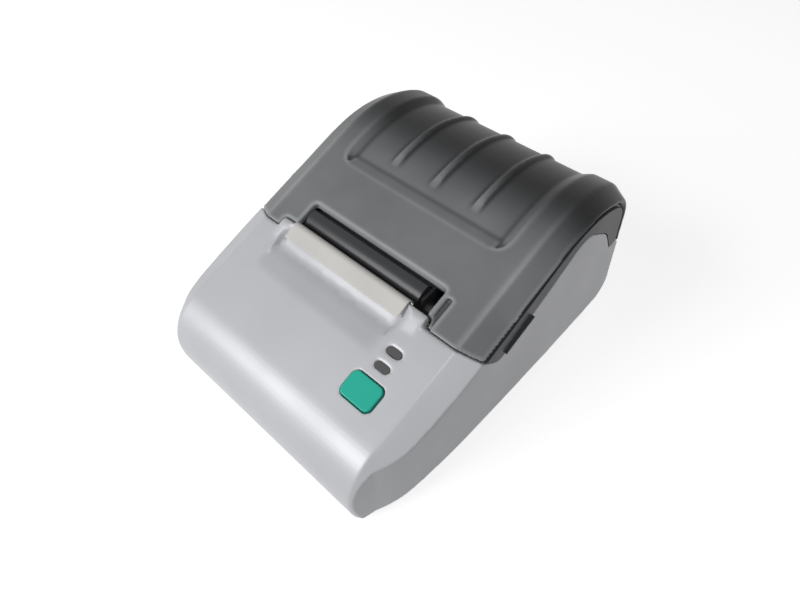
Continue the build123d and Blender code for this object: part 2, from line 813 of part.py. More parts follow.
def platen_cover():
    """Glossy black bar over the platen, seen in the notch behind the paper."""
    top = (-13.6, 53.5)
    toe = (-19.4, 48.4)
    brow = ThreePointArc(top, (-17.4, 51.7), toe)
    rest = Polyline(toe, (-18.7, 48.0), (-15.0, 44.0), (-12.4, 48.6), (-12.4, 50.2), (-12.7, 53.0), top)
    face = side_sheet(brow + rest) - side_circle(platen_y, platen_z, platen_radius + 0.7)
    bar = span(face, -33.2, 24.7)
    ledge = side_polygon([
        (-13.0, 49.6),
        (-11.5, deck_z(-11.5) - 6.3),
        (-1.0, deck_z(-1.0) - 6.3),
        (-1.0, deck_z(-1.0) - 8.1),
        (-10.6, deck_z(-10.6) - 8.1),
        (-13.0, 48.0),
    ])
    ledge = ledge - side_circle(platen_y, platen_z, platen_radius + 0.7)
    bar = bar + span(ledge, -33.2, 24.7)
    for x in (-28.0, 20.0):
        bar = bar - extrude(on_deck(x, -4.0, 12.0) * Circle(1.05), amount=8)
    return bar


def holder_screws():
    """Two screws that hold the platen's bracket and bar to the cover."""
    screws = []
    for x in (-28.0, 20.0):
        shank = extrude(on_deck(x, -4.0, 7.6) * Circle(0.95), amount=4.5)
        head = extrude(on_deck(x, -4.0, 8.6) * Circle(1.9), amount=1.0)
        screws.append(shank + head)
    return Compound(children=screws)


def platen_bushings():
    """Plastic bearings on the platen's ends, held by the bracket's ears."""
    left = rod(platen_y, platen_z, bushing_radius, -37.0, -33.4)
    right = rod(platen_y, platen_z, bushing_radius, 24.9, 28.8)
    bore = rod(platen_y, platen_z, shaft_radius + 0.05, -60, 60)
    return Compound(children=[left - bore, right - bore])


def panel_cutter():
    """Space of the sunken panel on the cover, with sloping walls, running over the crest."""
    floor_y = panel_front_y + panel_front_run
    sunk = side_face(panel_depth)
    ramp = side_polygon([
        (panel_front_y, deck_z(panel_front_y)),
        (floor_y, deck_z(floor_y) - panel_depth / cos(radians(deck_slope))),
        (floor_y, 20),
        (-60, 20),
        (-60, deck_z(-60)),
    ])
    floor = extrude(sunk + ramp, amount=panel_half_width, both=True)
    rim_half = panel_half_width + panel_side_run
    foot = Pos(panel_half_width, 0, 0) * sunk
    bank = loft([foot, Pos(rim_half, 0, 0) * offset(sunk, amount=panel_depth)], ruled=True)
    outline = RectangleRounded(2 * rim_half, 200, panel_corner, align=(Align.CENTER, Align.MIN))
    area = extrude(Pos(0, panel_front_y) * outline, amount=form_top)
    area = area - block(-60, 60, 40, 100, 0, panel_end_z)
    return area - floor - both_sides(bank)


def cover_ribs():
    """Three slim raised lines on the panel, front to back over the crest, with rounded tops."""
    strip = side_face(panel_depth - rib_height) - side_face(panel_depth + 0.05)
    top_y = rib_start_y + rib_ramp
    strip = strip & side_polygon([
        (rib_start_y, deck_z(rib_start_y) - 2.2),
        (top_y, deck_z(top_y) - 0.7),
        (top_y, 90),
        (90, 90),
        (90, rib_end_z),
        (rib_start_y, rib_end_z),
    ])
    rib = span(strip, -rib_half_width, rib_half_width)
    low = side_face(panel_depth - rib_height / 2)
    crowns = []
    for edge in rib.edges():
        middle = edge @ 0.5
        along = abs((edge @ 0).X - (edge @ 1).X) < 0.01 and edge.length > 2
        if along and Vertex(0, middle.Y, middle.Z).distance_to(low) > 0.1:
            crowns.append(edge)
    rib = fillet(crowns, 0.75)
    return Compound(children=[Pos(x, 0, 0) * rib for x in rib_middles])


def notch():
    """Gap in the cover's front edge for the paper, wider in front for the lip."""
    deep = block(notch_left, notch_right, -40, notch_rear, 40, 70)
    wide = block(ridge_left - lip_play, ridge_right + lip_play, -40, ridge_rear + lip_play, 40, 70)
    return deep + wide


def groove():
    """Shadow groove that runs round the cover between its top and its skirt."""
    band = side_face(split_depth - groove_width * 0.45) - side_face(split_depth + groove_width * 0.55)
    ring = extrude(band, amount=70, both=True)
    return ring - extrude(plan_face(groove_depth), amount=form_top, taper=side_draft)


def cover_shell():
    """Smoky top moulding of the cover, down to the shadow groove at the sides."""
    shell = (form() - form(cover_wall)) & cover_zone()
    shell = shell - extrude(side_face(split_depth), amount=70, both=True)
    shell = shell - panel_cutter()
    for rib in cover_ribs().solids():
        shell = shell + rib
    shell = shell - notch() - groove()
    rebate_plane = on_deck(rebate_x, rebate_y, rebate_depth)
    rebate = extrude(rebate_plane * Rectangle(rebate_width, rebate_length), amount=3)
    return hinge_barrel(shell - rebate)


def hinge_barrel(shell):
    """The cover's top with its rear edge rounded about the hinge, and with its knuckles."""
    corner = block(-60, 60, hinge_y, 90, 20, hinge_z) - rod(hinge_y, hinge_z, barrel_radius, -60, 60)
    shell = shell - corner
    shell = shell + both_sides(rod(hinge_y, hinge_z, barrel_radius, knuckle_inner, knuckle_outer))
    slot = rod(hinge_y, hinge_z, barrel_radius + seam, fork_inner - 0.3, fork_outer + 0.3)
    slot = slot + block(fork_inner - 0.3, fork_outer + 0.3, 60, 90, 20, hinge_z)
    bore = rod(hinge_y, hinge_z, hinge_pin_radius + 0.05, knuckle_inner - 1, 46.2)
    return shell - both_sides(slot + bore)


def cover_frame():
    """Inner moulding of the cover: side skirts, liner under the top, and the hinge knuckles."""
    near = cover_wall + liner_gap
    deep = near + liner_wall
    skirt = form() & extrude(side_face(split_depth + 0.12), amount=70, both=True)
    liner = form(near) - block(-60, 60, 55, 90, 0, 43.0)
    body = ((liner + skirt) - form(deep)) & cover_zone()
    body = body - groove()
    body = body - block(ridge_left - 1.4, liner_clear, -40, notch_rear + 0.9, 30, 75)
    body = body + pry_ledges()
    for x in (-28.0, 20.0):
        body = body - extrude(on_deck(x, -4.0, 12.0) * Circle(1.0), amount=9.2)
    return body


def pry_ledges():
    """Finger ledges at the skirt's lower edge, one each side."""
    low = side_polygon([(-9.6, 39.9), (-9.3, 41.6), (4.4, 48.0), (5.0, 46.9), (4.8, 46.6), (-8.9, 39.95)])
    low = low & cover_side()
    right = span(low, 50.0, 56.7)
    return right + mirror(right, about=Plane.YZ)


def hinge_pins():
    """Two short steel pins that the cover turns on."""
    right = rod(hinge_y, hinge_z, hinge_pin_radius, 29.0, 46.0)
    return Compound(children=[right, mirror(right, about=Plane.YZ)])


def tear_bar():
    """Serrated steel strip on the rear of the lip."""
    points = [(tear_left, tear_low), (tear_right, tear_low)]
    count = int((tear_right - tear_left) / tooth_pitch)
    for tooth in range(count, 0, -1):
        points.append((tear_left + tooth * tooth_pitch, tear_high))
        points.append((tear_left + (tooth - 0.5) * tooth_pitch, tear_high + tooth_height))
    points.append((tear_left, tear_high))
    face = Plane.XZ * make_face(Polyline(*points, close=True))
    return Pos(0, ridge_rear + tear_thickness, 0) * extrude(face, amount=tear_thickness)


def feed_button():
    """Green key in the deck, with the flange that keeps it in."""
    cap = extrude(on_deck(button_x, button_y, 3.3) * RectangleRounded(button_width, button_depth, 2.3),
                  amount=3.3 + button_proud)
    cap = fillet(cap.faces().sort_by(Axis.Z)[-1].edges(), 0.5)
    flange = extrude(on_deck(button_x, button_y, 3.3) * RectangleRounded(15.4, 11.6, 2.6), amount=0.7)
    return cap + flange


def switch_plunger():
    """Small plunger of the key switch, under the feed button."""
    return extrude(on_deck(button_x, button_y, 4.6) * Circle(1.5), amount=1.3)


def feed_switch():
    """Low key switch on the key board."""
    case = extrude(on_deck(button_x, button_y, key_board_depth) * Rectangle(6, 6), amount=1.9)
    return case - extrude(on_deck(button_x, button_y, 5.4) * Circle(1.6), amount=3)


def light_pipes():
    """Two dark windows in the deck that carry the light up."""
    pipes = []
    for y in light_ys:
        stem = SlotOverall(light_length - 0.1, light_width - 0.1)
        flange = SlotOverall(light_length + 1.4, light_width + 1.2)
        window = extrude(on_deck(light_x, y, 4.6) * stem, amount=4.4)
        rim = extrude(on_deck(light_x, y, 3.3) * flange, amount=0.8)
        pipes.append(window + rim)
    return Compound(children=pipes)


def status_lights():
    """Two light-emitting parts on the key board."""
    lamp = Rectangle(3.2, 1.6)
    lamps = [extrude(on_deck(light_x, y, key_board_depth) * lamp, amount=1.1) for y in light_ys]
    return Compound(children=lamps)


def key_board():
    """Small board under the deck for the key and the lights."""
    middle_y = -47.5
    board = extrude(on_deck(29.4, middle_y, key_board_depth + 1.2) * Rectangle(19.0, 29.0), amount=1.2)
    for x, y in key_board_spots():
        board = board - extrude(on_deck(x, y, 12) * Circle(1.1), amount=14)
    return board


def board_screws():
    """Five small screws: two for the key board, three for the main board."""
    screws = []
    for x, y in key_board_spots():
        head = extrude(on_deck(x, y, key_board_depth + 2.0) * Circle(1.8), amount=0.8)
        shank = extrude(on_deck(x, y, key_board_depth + 1.3) * Circle(0.9), amount=3.8)
        screws.append(head + shank)
    for x, y in main_board_spots():
        top = board_z + board_thickness
        head = Pos(x, y, top) * Cylinder(1.8, 0.8, align=(Align.CENTER, Align.CENTER, Align.MIN))
        shank = Pos(x, y, top - 3.4) * Cylinder(0.9, 3.5, align=(Align.CENTER, Align.CENTER, Align.MIN))
        screws.append(head + shank)
    return Compound(children=screws)


def frame_screws():
    """Four screws that hold the mechanism to the bottom plate from below."""
    screws = []
    for x, y in frame_screw_spots():
        head = Pos(x, y, 1.55) * Cylinder(1.9, 0.9, align=(Align.CENTER, Align.CENTER, Align.MIN))
        shank = Pos(x, y, 1.6) * Cylinder(0.9, 9.0, align=(Align.CENTER, Align.CENTER, Align.MIN))
        screws.append(head + shank)
    return Compound(children=screws)


def main_board():
    """L-shaped board on the bottom plate, with the sockets at the rear."""
    outline = [(28.8, -30.0), (43.2, -30.0), (43.2, 66.0), (-34.0, 66.0), (-34.0, 55.0), (28.8, 55.0)]
    face = make_face(Polyline(*outline, close=True))
    board = Pos(0, 0, board_z) * extrude(face, amount=board_thickness, dir=(0, 0, 1))
    for x, y in main_board_spots():
        board = board - Pos(x, y, 5) * Cylinder(1.1, 6)
    return board


def board_parts():
    """Chips and coils on the main board."""
    top = board_z + board_thickness
    parts = [
        block(31, 41, 0, 10, top, top + 1.6),
        block(32, 39, 16, 21, top, top + 1.4),
        block(33.5, 39.5, 30, 36, top, top + 3.2),
        block(30.5, 35.5, 44, 47, top, top + 2.0),
    ]
    can = Pos(37, -16, top) * Cylinder(4.0, 9.0, align=(Align.CENTER, Align.CENTER, Align.MIN))
    return Compound(children=parts + [can])


def usb_socket():
    """Square data socket at the rear."""
    low = board_z + board_thickness
    case = block(usb_x - 6.0, usb_x + 6.0, 59.6, 73.6, low, low + 11.0)
    case = case - block(usb_x - 4.2, usb_x + 4.2, 64.0, 80, low + 1.6, low + 9.2)
    tongue = block(usb_x - 2.8, usb_x + 2.8, 64.0, 72.0, low + 3.8, low + 7.0)
    return case + tongue


def power_inlet():
    """Round low-voltage inlet at the rear."""
    low = board_z + board_thickness
    case = block(inlet_x - 4.5, inlet_x + 4.5, 60.2, 73.4, low, low + 10.8)
    case = case - Pos(inlet_x, 80, low + 6.2) * Rot(90, 0, 0) * Cylinder(
        2.85, 16.0, align=(Align.CENTER, Align.CENTER, Align.MIN))
    pin = Pos(inlet_x, 72.4, low + 6.2) * Rot(90, 0, 0) * Cylinder(
        1.0, 9.5, align=(Align.CENTER, Align.CENTER, Align.MIN))
    return case + pin


def drawer_socket():
    """Telephone-style socket for a cash drawer."""
    low = board_z + board_thickness
    case = block(drawer_x - 6.6, drawer_x + 6.6, 60.0, 73.2, low, low + 13.0)
    mouth = block(drawer_x - 4.9, drawer_x + 4.9, 62.5, 80, low + 3.4, low + 10.4)
    clip = block(drawer_x - 3.2, drawer_x + 3.2, 62.5, 80, low + 1.6, low + 3.5)
    return case - mouth - clip


def on_rear(x, z, depth=0.0):
    """A plane lying on the leaning rear wall, sunk by depth, facing outwards."""
    lean = radians(rear_lean)
    origin = (x, rear_y(z) - depth * cos(lean), z - depth * sin(lean))
    return Plane(origin=origin, x_dir=(-1, 0, 0), z_dir=(0, cos(lean), sin(lean)))


def rocker_housing():
    """Frame of the power switch, snapped into the rear wall."""
    rim = extrude(on_rear(rocker_x, rocker_z, 0.95) * RectangleRounded(15.0, 21.0, 1.2), amount=0.95)
    body = extrude(on_rear(rocker_x, rocker_z, 9.0) * Rectangle(13.0, 19.0), amount=8.5)
    well = extrude(on_rear(rocker_x, rocker_z, 6.0) * Rectangle(9.6, 15.6), amount=8.0)
    pivot = on_rear(rocker_x, rocker_z, rocker_depth).origin
    return rim + body - well - rod(pivot.Y, pivot.Z, 0.85, rocker_x - 5.7, rocker_x + 5.7)


def power_rocker():
    """Rocker key of the power switch, tipped so that its upper end stands out."""
    pivot = on_rear(rocker_x, rocker_z, rocker_depth).origin
    outline = [(1.8, 7.0), (3.2, 7.0), (1.5, 0), (3.2, -7.0), (1.8, -7.0), (-2.5, -1.6), (-2.5, 1.6)]
    turn = radians(rear_lean - rocker_tilt)
    points = []
    for out, up in outline:
        y = pivot.Y + out * cos(turn) - up * sin(turn)
        z = pivot.Z + out * sin(turn) + up * cos(turn)
        points.append((y, z))
    key = span(side_polygon(points), rocker_x - 4.6, rocker_x + 4.6)
    return key + rod(pivot.Y, pivot.Z, 0.8, rocker_x - 5.6, rocker_x + 5.6)


pieces = {
    "body_shell": body_shell,
    "bottom_plate": bottom_plate,
    "rubber_feet": rubber_feet,
    "case_screws": case_screws,
    "paper_bay": paper_bay,
    "paper_roll": paper_roll,
    "roll_core": roll_core,
    "paper_web": paper_web,
    "print_frame": print_frame,
    "print_head": print_head,
    "head_heatsink": head_heatsink,
    "head_springs": head_springs,
    "head_flex": head_flex,
    "stepper_motor": stepper_motor,
    "motor_pinion": motor_pinion,
    "reduction_gear": reduction_gear,
    "idler_gear": idler_gear,
    "gear_axles": gear_axles,
    "gear_cover": gear_cover,
    "platen_roller": platen_roller,
    "platen_shaft": platen_shaft,
    "platen_gear": platen_gear,
    "platen_bushings": platen_bushings,
    "platen_bracket": platen_bracket,
    "platen_cover": platen_cover,
    "holder_screws": holder_screws,
    "cover_shell": cover_shell,
    "cover_frame": cover_frame,
    "hinge_pins": hinge_pins,
    "tear_bar": tear_bar,
    "feed_button": feed_button,
    "switch_plunger": switch_plunger,
    "feed_switch": feed_switch,
    "light_pipes": light_pipes,
    "status_lights": status_lights,
    "key_board": key_board,
    "board_screws": board_screws,
    "frame_screws": frame_screws,
    "main_board": main_board,
    "board_parts": board_parts,
    "usb_socket": usb_socket,
    "power_inlet": power_inlet,
    "drawer_socket": drawer_socket,
    "rocker_housing": rocker_housing,
    "power_rocker": power_rocker,
}

if __name__ == "__main__":
    os.makedirs("parts", exist_ok=True)
    for name, make in pieces.items():
        export_step(make(), f"parts/{name}.step")
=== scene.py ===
# %% [markdown]
# # A desktop receipt printer
#
# This lesson dresses a small thermal printer for 58 mm paper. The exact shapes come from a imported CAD
# model. Blender adds the finishes, the rounded edges of the shells, the thin paper, and the small things
# that repeat, such as screws and coils. Everything is in metres, with X to the printer's right, Y to its
# rear and Z up.

# %% Load the frame
import json
from math import cos, pi, radians, sin

import bmesh
import bpy
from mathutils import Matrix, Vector


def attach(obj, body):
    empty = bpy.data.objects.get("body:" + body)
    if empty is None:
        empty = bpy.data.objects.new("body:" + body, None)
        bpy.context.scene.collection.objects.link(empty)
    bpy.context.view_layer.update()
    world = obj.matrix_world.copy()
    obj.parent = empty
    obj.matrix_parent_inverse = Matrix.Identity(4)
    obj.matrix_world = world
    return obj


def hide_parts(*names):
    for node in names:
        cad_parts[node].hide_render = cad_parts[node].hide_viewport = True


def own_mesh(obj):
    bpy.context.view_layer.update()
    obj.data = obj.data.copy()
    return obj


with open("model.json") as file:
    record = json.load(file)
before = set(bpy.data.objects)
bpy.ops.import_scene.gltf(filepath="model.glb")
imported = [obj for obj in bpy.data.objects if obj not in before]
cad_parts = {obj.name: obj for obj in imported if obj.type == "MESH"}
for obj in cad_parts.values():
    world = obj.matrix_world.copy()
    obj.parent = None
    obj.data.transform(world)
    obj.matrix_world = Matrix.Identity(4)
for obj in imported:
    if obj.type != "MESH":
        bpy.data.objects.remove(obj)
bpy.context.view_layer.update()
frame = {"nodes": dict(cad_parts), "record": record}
nodes = frame["nodes"]
print("nodes:", len(nodes))

# %% [markdown]
# ## Floor, camera and lamps
#
# The photograph was taken from the front right and well above, so the camera stands there. The object
# fills most of a short view, which makes the perspective strong, and the lens is chosen to match it. The
# printer stands on a pale floor under large soft lamps. Large lamps give the broad, gentle highlights
# that satin plastic shows in a product photograph.

# %% Camera
mm = 0.001
camera_place = Vector((113.8, -122.8, 207.3)) * mm
camera_round = 43.06
camera_above = 48.84
focal_pixels = 617.9
picture_width = 800

camera_data = bpy.data.cameras.new("camera")
camera_data.sensor_width = 36.0
camera_data.lens = focal_pixels / picture_width * camera_data.sensor_width
camera_data.clip_start = 0.005
camera_data.clip_end = 20.0
camera = bpy.data.objects.new("camera", camera_data)
camera.location = camera_place
camera.rotation_euler = (radians(90 - camera_above), 0, radians(camera_round))
bpy.context.scene.collection.objects.link(camera)
bpy.context.scene.camera = camera
print("lens:", round(camera_data.lens, 2), "mm")


# %% Floor
white = (1, 1, 1, 1)


def node_tree(material):
    """An empty node tree for a material, with its output node."""
    material.use_nodes = True
    tree = material.node_tree
    tree.nodes.clear()
    return tree, tree.nodes.new("ShaderNodeOutputMaterial")


def times(tree, value, factor):
    """A value multiplied by a fixed factor."""
    product = tree.nodes.new("ShaderNodeMath")
    product.operation = "MULTIPLY"
    product.inputs[1].default_value = factor
    tree.links.new(value, product.inputs[0])
    return product.outputs[0]


def background_share(tree):
    """One for the rays that show the background: straight to the camera, mirrored or through glass."""
    path = tree.nodes.new("ShaderNodeLightPath")
    share = path.outputs["Is Camera Ray"]
    for label in ("Is Glossy Ray", "Is Transmission Ray"):
        larger = tree.nodes.new("ShaderNodeMath")
        larger.operation = "MAXIMUM"
        tree.links.new(share, larger.inputs[0])
        tree.links.new(path.outputs[label], larger.inputs[1])
        share = larger.outputs[0]
    return share


floor_lift = 0.78
floor_tone = 0.5
floor_half = 3.0


def pale_floor():
    """A wide matte plane, lifted towards white for the camera; it keeps the object's shadow."""
    corners = [(x * floor_half, y * floor_half, 0) for x, y in ((-1, -1), (1, -1), (1, 1), (-1, 1))]
    mesh = bpy.data.meshes.new("floor")
    mesh.from_pydata(corners, [], [(0, 1, 2, 3)])
    floor = bpy.data.objects.new("floor", mesh)
    bpy.context.scene.collection.objects.link(floor)
    material = bpy.data.materials.new("floor_white")
    tree, output = node_tree(material)
    matte = tree.nodes.new("ShaderNodeBsdfDiffuse")
    matte.inputs["Color"].default_value = (floor_tone, floor_tone, floor_tone, 1)
    glow = tree.nodes.new("ShaderNodeEmission")
    glow.inputs["Color"].default_value = white
    tree.links.new(times(tree, background_share(tree), floor_lift), glow.inputs["Strength"])
    both = tree.nodes.new("ShaderNodeAddShader")
    tree.links.new(matte.outputs[0], both.inputs[0])
    tree.links.new(glow.outputs[0], both.inputs[1])
    tree.links.new(both.outputs[0], output.inputs["Surface"])
    mesh.materials.append(material)


pale_floor()

# %% Surroundings
sky_colour = (0.94, 0.97, 1, 1)
sky_strength = 0.06
backdrop_strength = 1.0

world = bpy.data.worlds.new("studio")
bpy.context.scene.world = world
world.use_nodes = True
sky = world.node_tree
sky_light = sky.nodes["Background"]
sky_light.inputs["Color"].default_value = sky_colour
sky_light.inputs["Strength"].default_value = sky_strength
backdrop = sky.nodes.new("ShaderNodeBackground")
backdrop.inputs["Color"].default_value = white
backdrop.inputs["Strength"].default_value = backdrop_strength
choose = sky.nodes.new("ShaderNodeMixShader")
sky.links.new(background_share(sky), choose.inputs[0])
sky.links.new(sky_light.outputs[0], choose.inputs[1])
sky.links.new(backdrop.outputs[0], choose.inputs[2])
sky.links.new(choose.outputs[0], sky.nodes["World Output"].inputs["Surface"])


# %% Lamps
def soft_lamp(name, place, aim, size, power):
    """A square area lamp that faces a point; size in metres, power in watts."""
    data = bpy.data.lights.new(name, "AREA")
    data.shape = "SQUARE"
    data.size = size
    data.energy = power
    lamp = bpy.data.objects.new(name, data)
    lamp.location = place
    lamp.rotation_euler = (Vector(aim) - Vector(place)).to_track_quat("-Z", "Y").to_euler()
    bpy.context.scene.collection.objects.link(lamp)


printer_middle = (0, 0, 0.035)
soft_lamp("key", (-0.38, -0.90, 0.60), printer_middle, 0.6, 9.3)
soft_lamp("overhead", (0.40, -0.20, 0.92), printer_middle, 0.26, 1.8)
soft_lamp("fill", (0.95, -0.45, 0.70), printer_middle, 0.6, 0.2)
bpy.context.scene.view_settings.view_transform = "Standard"

# %% [markdown]
# ## Finishes
#
# Moulded plastic is never one flat colour. It has a fine spark-eroded grain, and its gloss drifts a
# little over a wide surface where the mould was polished more or less. Each finish below is built from
# the same three layers: a slow drift in colour, a drift in roughness, and a grain in the surface. All of
# them read Object coordinates, so the pattern has a real size and stays put on the piece.


# %% Helpers for node values
# A Mix node gives its colour sockets the same labels as its others, so these are their places.
mix_share = 0
mix_first = 6
mix_second = 7
mix_colour = 2


def ramp(tree, value, start, end, low=0.0, high=1.0, curve="LINEAR"):
    """Turns a value that runs from start to end into one that runs from low to high."""
    spread = tree.nodes.new("ShaderNodeMapRange")
    spread.interpolation_type = curve
    spread.inputs["From Min"].default_value = start
    spread.inputs["From Max"].default_value = end
    spread.inputs["To Min"].default_value = low
    spread.inputs["To Max"].default_value = high
    tree.links.new(value, spread.inputs["Value"])
    return spread.outputs["Result"]


def vector_step(tree, operation, value):
    """The node of one vector calculation on a value."""
    step = tree.nodes.new("ShaderNodeVectorMath")
    step.operation = operation
    tree.links.new(value, step.inputs[0])
    return step


def colour_between(tree, share, dark, light):
    """A colour that moves from dark to light with share."""
    mix = tree.nodes.new("ShaderNodeMix")
    mix.data_type = "RGBA"
    mix.inputs[mix_first].default_value = (*dark, 1)
    mix.inputs[mix_second].default_value = (*light, 1)
    tree.links.new(share, mix.inputs[mix_share])
    return mix.outputs[mix_colour]


def shade(colour, factor):
    """A colour made darker or lighter."""
    return tuple(min(channel * factor, 1.0) for channel in colour)


# %% A helper for grained surfaces
noise_low = 0.3
noise_high = 0.7
drift_detail = 2.0
grain_detail = 3.0
tint_scale = 45.0
gloss_scale = 30.0


def number_drift(tree, place, scale, low, high):
    """A noise that wanders between two values, read in real coordinates."""
    noise = tree.nodes.new("ShaderNodeTexNoise")
    noise.inputs["Scale"].default_value = scale
    noise.inputs["Detail"].default_value = drift_detail
    tree.links.new(place, noise.inputs["Vector"])
    return ramp(tree, noise.outputs["Fac"], noise_low, noise_high, low, high)


def grained(name, colour, roughness, drift=0.04, gloss_drift=0.05, grain=4500.0, depth=0.00001,
            strength=0.25, metal=0.0, coat=0.0, coat_roughness=0.2, specular=0.5):
    """A moulded, painted or rolled surface: colour drift, gloss drift and a fine grain."""
    material = bpy.data.materials.new(name)
    tree, output = node_tree(material)
    place = tree.nodes.new("ShaderNodeTexCoord").outputs["Object"]
    shader = tree.nodes.new("ShaderNodeBsdfPrincipled")
    shader.inputs["Metallic"].default_value = metal
    shader.inputs["Coat Weight"].default_value = coat
    shader.inputs["Coat Roughness"].default_value = coat_roughness
    shader.inputs["Specular IOR Level"].default_value = specular
    share = number_drift(tree, place, tint_scale, 0.0, 1.0)
    tint = colour_between(tree, share, shade(colour, 1 - drift), shade(colour, 1 + drift))
    tree.links.new(tint, shader.inputs["Base Color"])
    rough = number_drift(tree, place, gloss_scale, roughness - gloss_drift, roughness + gloss_drift)
    tree.links.new(rough, shader.inputs["Roughness"])
    speck = tree.nodes.new("ShaderNodeTexNoise")
    speck.inputs["Scale"].default_value = grain
    speck.inputs["Detail"].default_value = grain_detail
    tree.links.new(place, speck.inputs["Vector"])
    bump = tree.nodes.new("ShaderNodeBump")
    bump.inputs["Strength"].default_value = strength
    bump.inputs["Distance"].default_value = depth
    tree.links.new(speck.outputs["Fac"], bump.inputs["Height"])
    tree.links.new(bump.outputs["Normal"], shader.inputs["Normal"])
    tree.links.new(shader.outputs[0], output.inputs["Surface"])
    return material


# %% [markdown]
# ### Smoky plastic
#
# In the photograph the cover is grey at the front and nearly black over the crest and behind it. That
# darkness is shade, and here it is painted: the finish runs from the cover's own grey at the front to a
# near black along the printer. A second number, stored on the cover's points further down, paints shade
# into hollows and a little painted highlight onto edges.

# %% A helper for smoky plastic
# Where the painted shade over the crest begins and where it is deepest, in millimetres along Y.
crest_painted_shade_begins = 8.0
crest_painted_shade_deepest = 39.0
# Painted shade in hollows and a painted highlight on edges, as factors on the colour, and how much relief
# gives the full amount of each.
relief_reach = 0.02
hollow_painted_shade = 0.3
edge_painted_highlight = 1.12


def smoky(name, front, rear, roughness, **finish):
    """Plastic with painted shade, darker from front to rear; the relief on its points paints hollows darker
    and edges lighter.
    """
    material = grained(name, front, roughness, **finish)
    tree = material.node_tree
    shader = tree.nodes["Principled BSDF"]
    # Painted shade: the base colour darkens towards the rear, over the crest and behind it.
    parts = tree.nodes.new("ShaderNodeSeparateXYZ")
    tree.links.new(tree.nodes["Texture Coordinate"].outputs["Object"], parts.inputs[0])
    share = ramp(tree, parts.outputs["Y"], crest_painted_shade_begins * mm, crest_painted_shade_deepest * mm, curve="SMOOTHSTEP")
    mix = tree.nodes.new("ShaderNodeMix")
    mix.data_type = "RGBA"
    mix.inputs[mix_second].default_value = (*rear, 1)
    tree.links.new(share, mix.inputs[mix_share])
    tree.links.new(shader.inputs["Base Color"].links[0].from_socket, mix.inputs[mix_first])
    # Painted shade in hollows and a painted highlight on edges, scaled by the relief on the points.
    relief = tree.nodes.new("ShaderNodeAttribute")
    relief.attribute_name = "relief"
    height = ramp(tree, relief.outputs["Fac"], -relief_reach, relief_reach, hollow_painted_shade, edge_painted_highlight)
    painted_shade_colour = vector_step(tree, "SCALE", mix.outputs[mix_colour])
    tree.links.new(height, painted_shade_colour.inputs["Scale"])
    tree.links.new(painted_shade_colour.outputs[0], shader.inputs["Base Color"])
    return material


# %% Plastics
silver = grained("silver_plastic", (0.53, 0.535, 0.558), 0.42, drift=0.025, grain=2400.0, depth=0.00002,
                 strength=0.4, metal=0.12, coat=0.1, coat_roughness=0.3)
# The second colour is painted shade, the near black over the crest and behind it.
smoke = smoky("smoke_plastic", (0.280, 0.291, 0.297), (0.021, 0.0215, 0.023), 0.33, drift=0.10,
              grain=3200.0, specular=0.17)
slate = grained("slate_plastic", (0.076, 0.079, 0.084), 0.40, drift=0.05, grain=3200.0, specular=0.12)
black = grained("black_plastic", (0.022, 0.022, 0.024), 0.45, drift=0.1)
gloss_black = grained("gloss_black", (0.034, 0.035, 0.038), 0.30, gloss_drift=0.03, depth=0.000002,
                      specular=0.3)
green = grained("green_key", (0.016, 0.46, 0.34), 0.42, drift=0.03, specular=0.3)
lens = grained("smoke_lens", (0.060, 0.056, 0.060), 0.2, gloss_drift=0.03, depth=0.000002, coat=0.4,
               coat_roughness=0.08)
white_gear = grained("white_gear", (0.70, 0.69, 0.64), 0.4)
soft_rubber = grained("soft_rubber", (0.026, 0.026, 0.027), 0.75, grain=2500.0, depth=0.00003)
platen_rubber = grained("platen_rubber", (0.035, 0.035, 0.036), 0.6, grain=5000.0, depth=0.00001)
lamp_resin = grained("lamp_resin", (0.62, 0.70, 0.52), 0.15, coat=0.5)
copper_flex = grained("copper_flex", (0.42, 0.19, 0.04), 0.3, coat=0.3)
board_green = grained("board_green", (0.018, 0.15, 0.06), 0.3, drift=0.12, coat=0.3)
ceramic = grained("ceramic", (0.70, 0.69, 0.64), 0.25, coat=0.4)

# %% Metals
steel = grained("steel", (0.56, 0.56, 0.57), 0.3, metal=1.0, depth=0.000003)
dark_steel = grained("dark_steel", (0.035, 0.035, 0.038), 0.5, metal=0.3, depth=0.000003, specular=0.2)
zinc = grained("zinc_screw", (0.50, 0.50, 0.52), 0.35, metal=1.0, drift=0.1)
tin_plate = grained("tin_plate", (0.62, 0.62, 0.63), 0.28, metal=1.0, drift=0.06)
aluminium = grained("aluminium", (0.66, 0.67, 0.68), 0.36, metal=1.0, drift=0.05)


# %% [markdown]
# ## Paper
#
# Thermal paper is smooth and slightly warm in tone, with a faint cloudiness where the fibres lie
# thicker. On the end of a roll one sees the edges of hundreds of turns, so the roll's finish adds fine
# rings about its axis. The rings are a wave of the distance from that axis.

# %% Paper and card
ring_dark = 0.72
ring_light = 1.04
ring_pitch = 0.4


def fibrous(name, colour):
    """A papery finish."""
    return grained(name, colour, 0.72, drift=0.05, grain=2600.0, depth=0.000015, specular=0.3)


def ring_wave(tree, axis):
    """A wave between 0 and 1 of the distance from an axis along X, given by a point in millimetres."""
    centre = tree.nodes.new("ShaderNodeMapping")
    centre.inputs["Location"].default_value = tuple(-value * mm for value in axis)
    tree.links.new(tree.nodes["Texture Coordinate"].outputs["Object"], centre.inputs["Vector"])
    flat = vector_step(tree, "MULTIPLY", centre.outputs[0])
    flat.inputs[1].default_value = (0, 1, 1)
    distance = vector_step(tree, "LENGTH", flat.outputs[0])
    wave = tree.nodes.new("ShaderNodeMath")
    wave.operation = "SINE"
    tree.links.new(times(tree, distance.outputs["Value"], 2 * pi / (ring_pitch * mm)), wave.inputs[0])
    return ramp(tree, wave.outputs[0], -1.0, 1.0)


